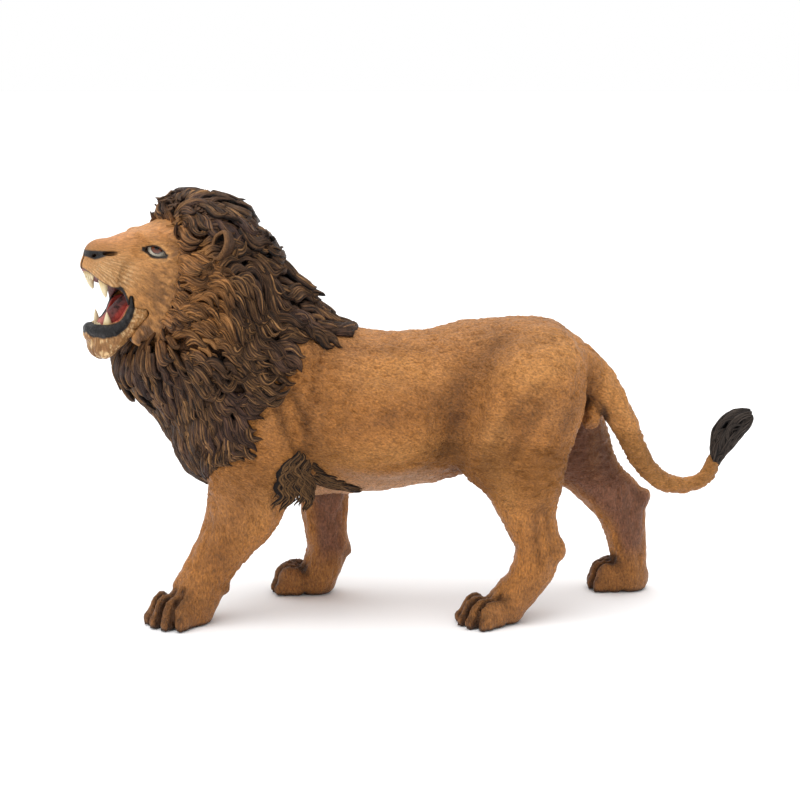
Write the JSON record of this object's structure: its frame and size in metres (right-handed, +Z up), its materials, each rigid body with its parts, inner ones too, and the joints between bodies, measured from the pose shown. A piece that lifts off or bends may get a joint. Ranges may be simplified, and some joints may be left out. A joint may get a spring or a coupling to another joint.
{
  "type": "lion figurine",
  "caption": "Moulded, hand-painted animal figurine of a maned lion walking and roaring, standing free on its paws.",
  "frame": {"origin": "middle of the figurine's bounding box at the soles of its paws, where it stands", "axes": "+Z up, the lion walks towards -X with its tail towards +X, its left flank faces -Y"},
  "size_m": [0.144, 0.044, 0.0913],
  "materials": {
    "painted_body": "solid moulded PVC, airbrushed ochre brown with darker shading and a dark brown dry-brushed mane, satin",
    "painted_jaw": "solid moulded PVC, painted cream tan with a black lip, red gums and ivory teeth, satin"
  },
  "bodies": {
    "root": {"lion_body": "painted_body", "lower_jaw": "painted_jaw"}
  },
  "joints": []
}
